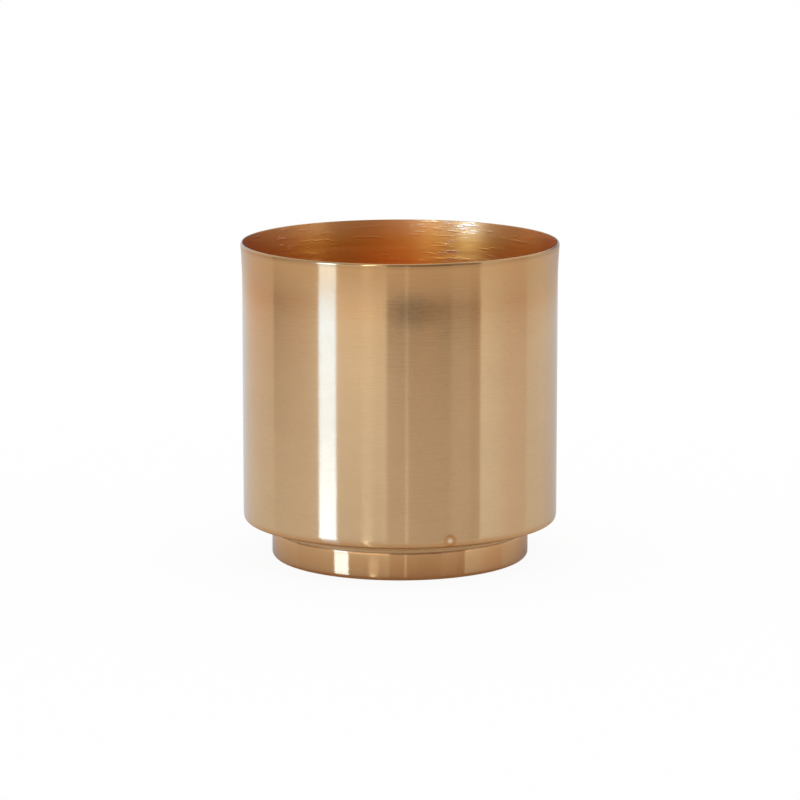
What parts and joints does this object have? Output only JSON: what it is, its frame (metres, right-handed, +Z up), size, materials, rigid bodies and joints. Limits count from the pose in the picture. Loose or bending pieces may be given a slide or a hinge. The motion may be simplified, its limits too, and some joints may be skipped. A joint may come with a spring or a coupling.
{
  "type": "pedestal vase",
  "caption": "Round straight-sided metal vase with a thin, slightly flared rim, on a low and narrower pedestal foot, open at the top for flowers or a small plant pot.",
  "frame": {"origin": "centre of the foot's underside, on the surface that the vase stands on", "axes": "+Z up along the axis that every piece turns about; -Y faces the picture's camera, and X is to its right"},
  "size_m": [0.1016, 0.1016, 0.1016],
  "materials": {
    "cup_brass": "satin, brushed round the wall outside; as spun inside",
    "foot_brass": "satin, finely brushed round the wall",
    "braze": "satin"
  },
  "bodies": {
    "root": {"cup": "cup_brass", "foot": "foot_brass", "braze_fillet": "braze"}
  },
  "joints": []
}
